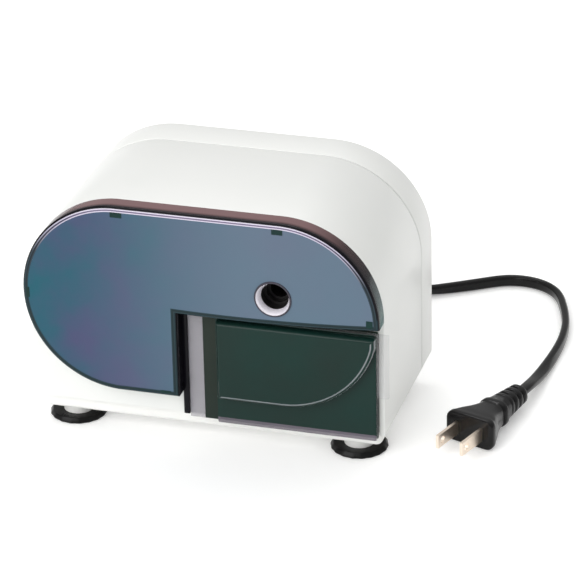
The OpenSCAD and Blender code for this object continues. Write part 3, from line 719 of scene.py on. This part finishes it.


# The skirt's ramp is painted light: a teal highlight at its lowest, painted shade through the middle, and
# its pink-brown smoke tint lit along the top. Near the face it fades to a painted black shade line.
smoked_skirt = height_finish("smoked_skirt", [
    (0.0, (0.06, 0.15, 0.14)), (0.28, (0.030, 0.060, 0.062)), (0.52, (0.012, 0.009, 0.012)),
    (0.78, (0.055, 0.032, 0.034)), (0.97, (0.20, 0.115, 0.118))], (-0.0462, -0.0436), 0.9, 0.2)
# The thin line inside the rim carries a painted highlight along its top and is dark teal lower down. The
# outer rim band is likewise lit along the top and shaded lower down: painted light and shade.
rim_light = height_finish("rim_light", [
    (0.0, (0.010, 0.030, 0.036)), (0.45, (0.025, 0.040, 0.055)), (0.75, (0.42, 0.40, 0.50)),
    (1.0, (0.62, 0.58, 0.68))])
rim_band = height_finish("rim_band", [
    (0.0, (0.005, 0.017, 0.021)), (0.5, (0.006, 0.012, 0.018)), (0.8, (0.05, 0.045, 0.08)),
    (0.95, (0.16, 0.13, 0.21))])
print("smoked finishes:", smoked_skirt.name, rim_light.name, rim_band.name)

# %% [markdown]
# ## The finishes of this sharpener
# The record names one finish for each slot, and every CAD piece gets the finish of its slot.
# The clear layers of the drawer and the thin rims get their own, because each shows a
# different amount of what lies behind it.

# %% Finishes by slot
finish = {
    "casing_plastic": plastic("white_abs", (0.735, 0.74, 0.72), (0.70, 0.71, 0.69), 12, 0.34, 0.06,
                              1800, 0.012),
    "base_plastic": plastic("white_base", (0.78, 0.78, 0.76), (0.74, 0.74, 0.72), 14, 0.38),
    "smoked_panel": panel_finish(),
    "smoked_drawer": smoke("smoked_dark_green", (0.005, 0.026, 0.021), (0.008, 0.022, 0.018), 30,
                           0.14, 0.16),
    "bright_ring": metal("plated_ring", (0.95, 0.93, 0.97), (0.86, 0.83, 0.9), 0.36, 0.08, 400,
                         Metallic=0.35),
    "black_plastic": plastic("black_nylon", (0.006, 0.006, 0.007), (0.012, 0.011, 0.011), 60, 0.35,
                             0.1, 900, 0.03, Specular_IOR_Level=0.3),
    "zinc_plate": metal("zinc_plate", (0.62, 0.64, 0.68), (0.55, 0.56, 0.58), 0.3, 0.15),
    "laminations": metal("laminated_steel", (0.16, 0.17, 0.19), (0.24, 0.24, 0.26), 0.45, 0.2, 2500),
    "copper_winding": plastic("enamelled_copper", (0.5, 0.2, 0.06), (0.62, 0.27, 0.08), 400, 0.25,
                              0.1, 1800, 0.1),
    "ivory_nylon": plastic("ivory_nylon", (0.74, 0.70, 0.6), (0.68, 0.64, 0.54), 40, 0.4, 0.1, 1200, 0.03),
    "screw_steel": metal("screw_steel", (0.5, 0.5, 0.52), (0.4, 0.4, 0.41), 0.3, 0.1),
    "shaft_steel": metal("ground_steel", (0.66, 0.66, 0.67), (0.58, 0.58, 0.6), 0.2, 0.1),
    "bronze": metal("sintered_bronze", (0.5, 0.3, 0.13), (0.42, 0.25, 0.11), 0.4, 0.2),
    "brass": metal("machined_brass", (0.75, 0.55, 0.22), (0.66, 0.46, 0.18), 0.25, 0.12),
    "plug_brass": metal("nickel_washed_brass", (0.9, 0.78, 0.66), (0.8, 0.69, 0.58), 0.26, 0.12, 600),
    "cast_metal": metal("die_cast_zinc", (0.42, 0.43, 0.45), (0.34, 0.35, 0.37), 0.45, 0.2, 500),
    "tool_steel": metal("tool_steel", (0.3, 0.31, 0.33), (0.2, 0.21, 0.23), 0.3, 0.15),
    "plunger_plastic": plastic("orange_acetal", (0.6, 0.12, 0.03), (0.52, 0.09, 0.02), 60, 0.35, 0.08),
    "foot_rubber": plastic("foot_rubber", (0.003, 0.003, 0.003), (0.006, 0.006, 0.006), 90, 0.3,
                           0.15, 1200, 0.04, Specular_IOR_Level=0.15),
    "cord_vinyl": plastic("black_vinyl", (0.003, 0.003, 0.0035), (0.007, 0.0065, 0.0065), 80, 0.2,
                          0.1, 1400, 0.03, Specular_IOR_Level=0.2),
}
rim_black = smoke("rim_black", (0.003, 0.003, 0.005), (0.006, 0.005, 0.008), 40, 0.1, 0.12)
rim_teal = smoke("rim_teal", (0.005, 0.017, 0.022), (0.008, 0.024, 0.030), 24, 0.12, 0.2)
edge_band = smoke("edge_band", (0.020, 0.027, 0.020), (0.012, 0.022, 0.018), 18, 0.14, 0.15)
lower_strip = smoke("lower_strip", (0.17, 0.14, 0.18), (0.10, 0.09, 0.11), 14, 0.12, 0.3, Alpha=0.85)
clip_green = smoke("clip_green", (0.004, 0.03, 0.026), (0.007, 0.025, 0.023), 60, 0.2, 0.15)
clear_flange = plastic("clear_flange", (0.30, 0.28, 0.33), (0.27, 0.26, 0.30), 16, 0.1, 0.02, 2000, 0.0,
                       Alpha=0.34, Specular_IOR_Level=0.3)
clear_tab = plastic("clear_tab", (0.50, 0.49, 0.50), (0.42, 0.42, 0.44), 16, 0.1, 0.02, 2000, 0.0,
                    Alpha=0.14, Specular_IOR_Level=0.4)
clear_highlight = plastic("clear_edge", (0.36, 0.38, 0.40), (0.22, 0.26, 0.27), 30, 0.1, 0.02, 2000, 0.0,
                    Alpha=0.6, Specular_IOR_Level=0.5)
ring_lip = plastic("ring_lip", (0.03, 0.025, 0.045), (0.02, 0.02, 0.03), 60, 0.15, 0.05, 2000, 0.0)
floor_paint = plastic("floor_paper", (0.93, 0.93, 0.92), (0.91, 0.91, 0.905), 3, 0.6, 0.05, 400, 0.0,
                      Emission_Color=(1, 1, 1, 1), Emission_Strength=0.22)
wear(floor, floor_paint)
for part in record["subparts"]:
    wear(frame["nodes"][part["node"]], finish[part["material_slot"]])
print(len(finish), "finishes by slot, for", len(record["subparts"]), "CAD pieces")

# %% [markdown]
# ## Casing shells
# The front shell and the rear cover are one tunnel shape: upright sides and two big round
# top corners. A block gets its two top edges bevelled with the corner radius, then its end
# edges get the small moulded rounding that catches the light at the seam, and Boolean
# cutters hollow it and open the window and the drawer's mouth.

# %% A tunnel-shaped block
def tunnel(name, y0, y1, inset=0.0, low=casing_low, end_bevel=0.0):
    """A block with two big round top corners, and with small rounded ends if told so."""
    body = block(name, (casing_left + inset, y0, low), (casing_right - inset, y1, casing_top - inset))
    pick(body, "EDGE", lambda p, e: p.z > 0.1 and abs(e.verts[0].co.y - e.verts[1].co.y) > 0.001)
    bpy.ops.mesh.bevel(offset=(corner - inset) * MM, segments=40, affect="EDGES")
    done()
    if end_bevel:
        ends, foot = (y0 * MM, y1 * MM), low * MM + 1e-5
        pick(body, "EDGE", lambda p, e: min(abs(p.y - end) for end in ends) < 1e-6 and p.z > foot)
        bpy.ops.mesh.bevel(offset=end_bevel * MM, segments=3, affect="EDGES")
        done()
    return body


def racetrack(name, y0, y1, inset):
    """The panel's stadium: a drum cut in the middle and drawn apart."""
    body = drum(name, 0, end_height, y0, y1, corner - inset, 128)
    for side in (-1, 1):
        pick(body, "VERT", lambda p, v: p.x * side > 1e-6 or (abs(p.x) <= 1e-6 and side > 0))
        bpy.ops.transform.translate(value=(side * end_offset * MM, 0, 0))
        done()
    body.data.transform(Matrix.Translation((middle_x * MM, 0, 0)))
    return body


def notch(name, y0, y1, grow=0.0):
    """What the drawer's corner takes out of the racetrack; its top edge is barely crowned."""
    crown_radius, crown_x = 830, 10.5
    body = block(name, (notch_side - grow, y0, 0), (120, y1, 90))
    crown = drum("crown", crown_x, notch_top + crown_radius + grow, y0 - 5, y1 + 5, crown_radius, 1440)
    return cut(body, crown)


# %% Front shell
front_shell = tunnel("front_shell", white_face, front_shell_end, end_bevel=0.5)
cut(front_shell, tunnel("hollow", white_face + shell_wall, 40, shell_wall, 5))
window_inset = 6.5
window = racetrack("window", -45, -35.5, window_inset)
cut(window, notch("window_notch", -50, -30, window_inset))
cut(front_shell, window)
cut(front_shell, block("drawer_mouth", (-2.5, -45, 5), (78.5, -35.5, 65)))
cut(front_shell, drum("guide_hole", inlet_x, inlet_z, -45, -35.5, 9, 64))
wear(smooth(front_shell, 30), finish["casing_plastic"])
finish_piece(front_shell, "housing", "casing_plastic", "front_casing")

# %% Rear cover
rear_shell = tunnel("rear_shell", rear_shell_start, back_face, end_bevel=0.5)
cut(rear_shell, tunnel("hollow", 20, back_face - shell_wall, shell_wall, 5))
slot_low, slot_rise, slot_pitch, first_slot = 55.4, 31.2, 7, -58.1
for i in range(9):
    slot_tool = drum("slot", first_slot + slot_pitch * i, slot_low, 44, 49, 1.4, 24)
    pick(slot_tool, "VERT", lambda p, v: p.z > slot_low * MM)
    bpy.ops.transform.translate(value=(0, 0, slot_rise * MM))
    done()
    cut(rear_shell, slot_tool)
cut(rear_shell, drum("cord_hole", 33, 22, 44, 49, 5, 48))
for x in (-69.5, 66.5):
    cut(rear_shell, drum("screw_hole", x, 24, 44, 49, 1.6, 32))
    cut(rear_shell, drum("counterbore", x, 24, 45.9, 49, 3.2, 32))
wear(smooth(rear_shell, 30), finish["casing_plastic"])
finish_piece(rear_shell, "housing", "casing_plastic", "rear_cover")

# %% [markdown]
# ## Front panel
# The panel is a shallow dish of smoked plastic: a racetrack with a notch for the drawer, a
# rounded front edge, and a skirt that stands 9 mm off the white casing. Two shallow Boolean
# recesses leave a raised rim with a thin line inside it, and a smaller racetrack hollows the
# dish from behind. Which finish a face gets is told by its depth and by the way it faces: the
# edge's faces take black or dark teal by their facing, a painted shade line, and the thin line
# inside the rim takes a painted highlight. A black lip lies on the casing inside the notch; its
# black is partly the panel's return flange and partly painted shade in the gap.

# %% Panel dish
panel = racetrack("panel_dish", panel_front, white_face, 0)
cut(panel, notch("panel_notch", -60, -30))
front = panel_front * MM
pick(panel, "EDGE", lambda p, e: all(abs(v.co.y - front) < 1e-6 for v in e.verts))
bpy.ops.mesh.bevel(offset=1.3 * MM, segments=4, affect="EDGES")
done()
line_depth, field_depth = -47.44, -47.38
for name, depth, inset in (("panel_line", line_depth, 2.0), ("panel_field", field_depth, 2.5)):
    field = racetrack(name, -50, depth, inset)
    cut(field, notch("field_notch", -60, -30, inset))
    cut(panel, field)

# %% Finish of each face of the panel
FACE, SKIRT, BLACK, HIGHLIGHT, TEAL, BAND = range(6)
wear(panel, finish["smoked_panel"], smoked_skirt, rim_black, rim_light, rim_teal, rim_band)
# Bevel faces along the edge get black or dark teal by the way they face, painted shade lines. The thin
# line ring gets the painted highlight, and the outer band gets its lit-and-shaded ramp.
for face in panel.data.polygons:
    steep, upward, y = abs(face.normal.y), face.normal.z, face.center.y / MM
    in_notch = abs(face.center.x / MM - notch_side) < 0.5 and abs(face.normal.x) > 0.5
    if y > -46.2:
        face.material_index = FACE if steep > 0.4 else (BLACK if in_notch else SKIRT)
    elif steep < 0.995 and y > field_depth:
        face.material_index = BLACK if upward > 0.05 or steep < 0.7 else TEAL
    elif y < -47.42:
        face.material_index = BAND if y < -47.47 else HIGHLIGHT
panel_wall = 2.3
hollow = racetrack("panel_hollow", panel_front + panel_wall, -30, panel_wall)
cut(hollow, notch("hollow_notch", -60, -20, panel_wall))
cut(panel, hollow)
cut(panel, drum("ring_hole", inlet_x, inlet_z, -60, -44, 8.6, 64))
# The lip is the panel's return flange; its black is partly painted shade in the gap between panel and
# casing.
lip = wear(block("notch_lip", (-12.2, -40.4, 14.3), (-9.4, -38.6, 67)), rim_black)
panel = join("panel_dish", panel, apply(lip, "BEVEL", width=0.3 * MM, segments=2))
smooth(panel, 30)
finish_piece(panel, "housing", "smoked_panel", "front_panel")

# %% Panel clips
clip_places = ((-41, -35.6, 111.9, 114.4), (33, 38, 111.9, 114.4), (-20.5, -15.8, 27.2, 28.7),
               (-82.4, -80.8, 68, 73), (75.2, 78.2, 71.6, 75))
clips = [block("clip", (x0, -47.56, z0), (x1, -47.3, z1)) for x0, x1, z0, z1 in clip_places]
clips = [apply(clip, "BEVEL", width=0.1 * MM, segments=1) for clip in clips]
clips = wear(smooth(join("panel_clips", *clips)), clip_green)
finish_piece(clips, "housing", "smoked_panel")

# %% [markdown]
# ## Turned pieces
# The bezel of the inlet and the suction feet are round, so each is a half outline that is
# spun round an axis. The spin leaves doubles at its seam, so they are merged and the normals
# are made to point outwards.

# %% Spin an outline
def spin_outline(name, points, edges):
    mesh = bpy.data.meshes.new(name)
    mesh.from_pydata([(r * MM, 0, z * MM) for r, z in points], edges, [])
    obj = bpy.data.objects.new(name, mesh)
    bpy.context.scene.collection.objects.link(obj)
    pick(obj, "EDGE", lambda p, e: True)
    bpy.ops.mesh.spin(steps=72, angle=2 * math.pi, center=(0, 0, 0), axis=(0, 0, 1))
    done()
    return outward(obj)


# %% Bright bezel of the pencil inlet
bezel_face = -47.9
bezel_points = [(7.85, 0), (8.45, 0.05), (8.6, 0.3), (8.6, 4), (6.4, 4), (6.4, 3.6), (7.75, 0.1)]
closed = [(i, (i + 1) % len(bezel_points)) for i in range(len(bezel_points))]
bezel = spin_outline("inlet_bezel", bezel_points, closed)
bezel_turn = Matrix.Rotation(-HALF_TURN / 2, 4, "X")
bezel.data.transform(Matrix.Translation(Vector((inlet_x, bezel_face, inlet_z)) * MM) @ bezel_turn)
wear(smooth(bezel, 30), finish["bright_ring"], ring_lip)
lip_radius = 7.7
for face in bezel.data.polygons:
    radius = math.hypot(face.center.x / MM - inlet_x, face.center.z / MM - inlet_z)
    face.material_index = 1 if radius > lip_radius else 0
finish_piece(bezel, "housing", "bright_ring", "inlet_ring")

# %% [markdown]
# ## Drawer
# The drawer is a clear smoked tray. Its front is layered: a thin flange that laps over the
# white casing, a thicker plate, and a raised block whose lower right edge follows the
# panel's round end. A dark green sheet behind stands in for the shade inside the drawer: painted
# shade, as is the opaque dark green of the front layers. Each layer is modelled by
# itself, because each lets a different amount of light through.

# %% Flange of the drawer
def rounded_plate(name, x0, x1, z0, z1, y0, y1, edge=0.4):
    """A plate with softened edges, measured from the casing's middle and its white face."""
    plate = block(name, (x0 + middle_x, y0 + white_face, z0), (x1 + middle_x, y1 + white_face, z1))
    return apply(plate, "BEVEL", width=edge * MM, segments=2)


def split(obj, *planes):
    """Cuts the faces along planes, each a point and a direction, and keeps both sides."""
    pick(obj, "FACE", lambda p, f: True)
    for point, direction in planes:
        bpy.ops.mesh.select_all(action="SELECT")
        bpy.ops.mesh.bisect(plane_co=point, plane_no=direction)
    done()


drawer_low, drawer_high, drawer_end = 13.2, 66.2, 80
shade_sheet_edge = -2.1 * MM
flange = rounded_plate("drawer_flange", -7.7, drawer_end, drawer_low, drawer_high, -2, -0.4, 0.5)
split(flange, ((shade_sheet_edge, 0, 0), (1, 0, 0)))
# Right of the dark sheet's edge the flange is an opaque dark band, painted shade of the drawer's inside
# seen through it; to the left it stays clear over the white casing.
wear(smooth(flange), clear_flange, edge_band)
for face in flange.data.polygons:
    face.material_index = 1 if face.center.x > shade_sheet_edge else 0
finish_piece(flange, "drawer_unit", "smoked_drawer")

# %% Plate and finger tab
strip_top = 16.2 * MM
plate = rounded_plate("drawer_plate", 6, drawer_end, drawer_low, drawer_high, -4.5, -2.02, 0.6)
tab = rounded_plate("drawer_tab", 80.1, 85.5, 35, drawer_high, -4.5, -2.3, 0.5)
split(plate, ((0, 0, strip_top), (0, 0, 1)), ((77.2 * MM, 0, 0), (1, 0, 0)))
plate = wear(smooth(join("drawer_plate", plate, tab)), clear_tab, finish["smoked_drawer"], lower_strip)
# The plate's front above the strip takes the opaque dark green: painted shade of the drawer's inside seen
# through the clear plate.
for face in plate.data.polygons:
    if face.normal.y < -0.9 and face.center.x < 78.5 * MM:
        face.material_index = 1 if face.center.z > strip_top else 2
finish_piece(plate, "drawer_unit", "smoked_drawer")

# %% Raised block with its painted double highlight line
raised = racetrack("drawer_raised", panel_front, -43.02, 1)
cut(raised, block("keep", (5.9, -60, 0), (78.8, -30, 65.6)), "INTERSECT")
pick(raised, "EDGE", lambda p, e: all(abs(v.co.y - front) < 1e-6 for v in e.verts))
bpy.ops.mesh.bevel(offset=2 * MM, segments=5, affect="EDGES")
done()
wear(smooth(raised, 30), clear_highlight, finish["smoked_drawer"])
# Chosen bevel faces on the lower right edge carry a painted double highlight line on a clear plastic edge;
# the rest is opaque dark green, painted shade of the drawer's inside.
for face in raised.data.polygons:
    steep, y = abs(face.normal.y), face.center.y / MM
    low_side = face.normal.z < 0.02 and face.normal.x > -0.02
    line = low_side and -47.49 < y < -45.5 and (steep > 0.95 or 0.1 < steep < 0.5)
    face.material_index = 0 if line else 1
finish_piece(raised, "drawer_unit", "smoked_drawer")

# %% Drawer tray and the dark sheet of painted shade
tray_wall, tray_depth = 2, 39.8
tray = block("drawer_tray", (0.1, -38.8, 15.2), (76.9, 13.5, 57))
pick(tray, "FACE", lambda p, f: f.normal.z > 0.5)
bpy.ops.mesh.inset(thickness=tray_wall * MM)
bpy.ops.mesh.extrude_region_move(TRANSFORM_OT_translate={"value": (0, 0, -tray_depth * MM)})
done()
tray = apply(tray, "BEVEL", width=0.5 * MM, segments=2, limit_method="ANGLE")
# This dark green sheet just behind the front is painted shade of the drawer's inside, not a part.
shade_sheet = rounded_plate("drawer_insert", -0.6, 79.6, 14.2, 64.6, -0.38, 0.9, 0.2)
tray = wear(smooth(join("drawer_tray", tray, shade_sheet)), finish["smoked_drawer"])
finish_piece(tray, "drawer_unit", "smoked_drawer", "drawer")

# %% [markdown]
# ## Feet and base
# The base plate is a shallow tray, and four rubber suction feet are pushed through it. A
# foot is a profile spun round its axis, with shallow lugs round the rim.

# %% Base plate
base_low = 7
base = block("base_shell", (-81.5, -36, base_low), (78.5, 45, 14))
pick(base, "EDGE", lambda p, e: abs(e.verts[0].co.z - e.verts[1].co.z) > 0.001)
bpy.ops.mesh.bevel(offset=3 * MM, segments=6, affect="EDGES")
done()
pick(base, "EDGE", lambda p, e: all(abs(v.co.z - base_low * MM) < 1e-6 for v in e.verts))
bpy.ops.mesh.bevel(offset=2 * MM, segments=4, affect="EDGES")
done()
cut(base, block("base_hollow", (-78.5, -33, 10), (75.5, 42, 20)))
for x in (-49.5, -27.5):
    for i in range(7):
        cut(base, block("air_slot", (x, -14.5 + 6 * i, 0), (x + 16, -12.5 + 6 * i, 20)))
boss_low, boss_high, boss_radius = 2.3, 7.6, 6.9
for x, y in foot_places:
    boss = drum("boss", 0, 0, 0, boss_high - boss_low, boss_radius, 48)
    stand = Matrix.Rotation(HALF_TURN / 2, 4, "X")
    boss.data.transform(Matrix.Translation(Vector((x, y, boss_low)) * MM) @ stand)
    cut(base, boss, "UNION")
wear(smooth(base, 30), finish["base_plastic"])
finish_piece(base, "housing", "base_plastic", "base_plate")

# %% Suction feet
foot_points = [(0, 1.6), (7, 1.2), (11.6, 0.05), (12.7, 0), (13.2, 0.5), (13.1, 1.3), (11.9, 2.6),
               (9.8, 2.75), (7.2, 2.2), (2.5, 2.2), (2.5, 10.2), (3.6, 10.35), (3, 11.8), (0, 11.8)]
lug_count, lug_depth, lug_start = 18, 0.022, 12.4


def suction_foot(x, y):
    """A spun cup on a stem, with shallow lugs pressed into its rim."""
    obj = spin_outline("foot", foot_points, [(i, i + 1) for i in range(len(foot_points) - 1)])
    for v in obj.data.vertices:
        if math.hypot(v.co.x, v.co.y) > lug_start * MM:
            wave = 0.5 + 0.5 * math.cos(lug_count * math.atan2(v.co.y, v.co.x))
            v.co.x *= 1 - lug_depth * wave
            v.co.y *= 1 - lug_depth * wave
    obj.data.transform(Matrix.Translation((x * MM, y * MM, 0)))
    return smooth(obj, 35)


feet = [suction_foot(x, y) for x, y in foot_places]
feet = wear(join("suction_feet", *feet), finish["foot_rubber"])
finish_piece(feet, "housing", "foot_rubber", "rubber_feet")

# %% [markdown]
# ## Finish
# The cord and the plug get their vinyl, and round CAD pieces are smoothed.

# %% Last touches
for obj in (mains_cord, plug, tie):
    wear(obj, finish["cord_vinyl"])
for node in frame["nodes"].values():
    if not node.hide_render:
        smooth(node, 30)
deselect()
print("pieces are in place")
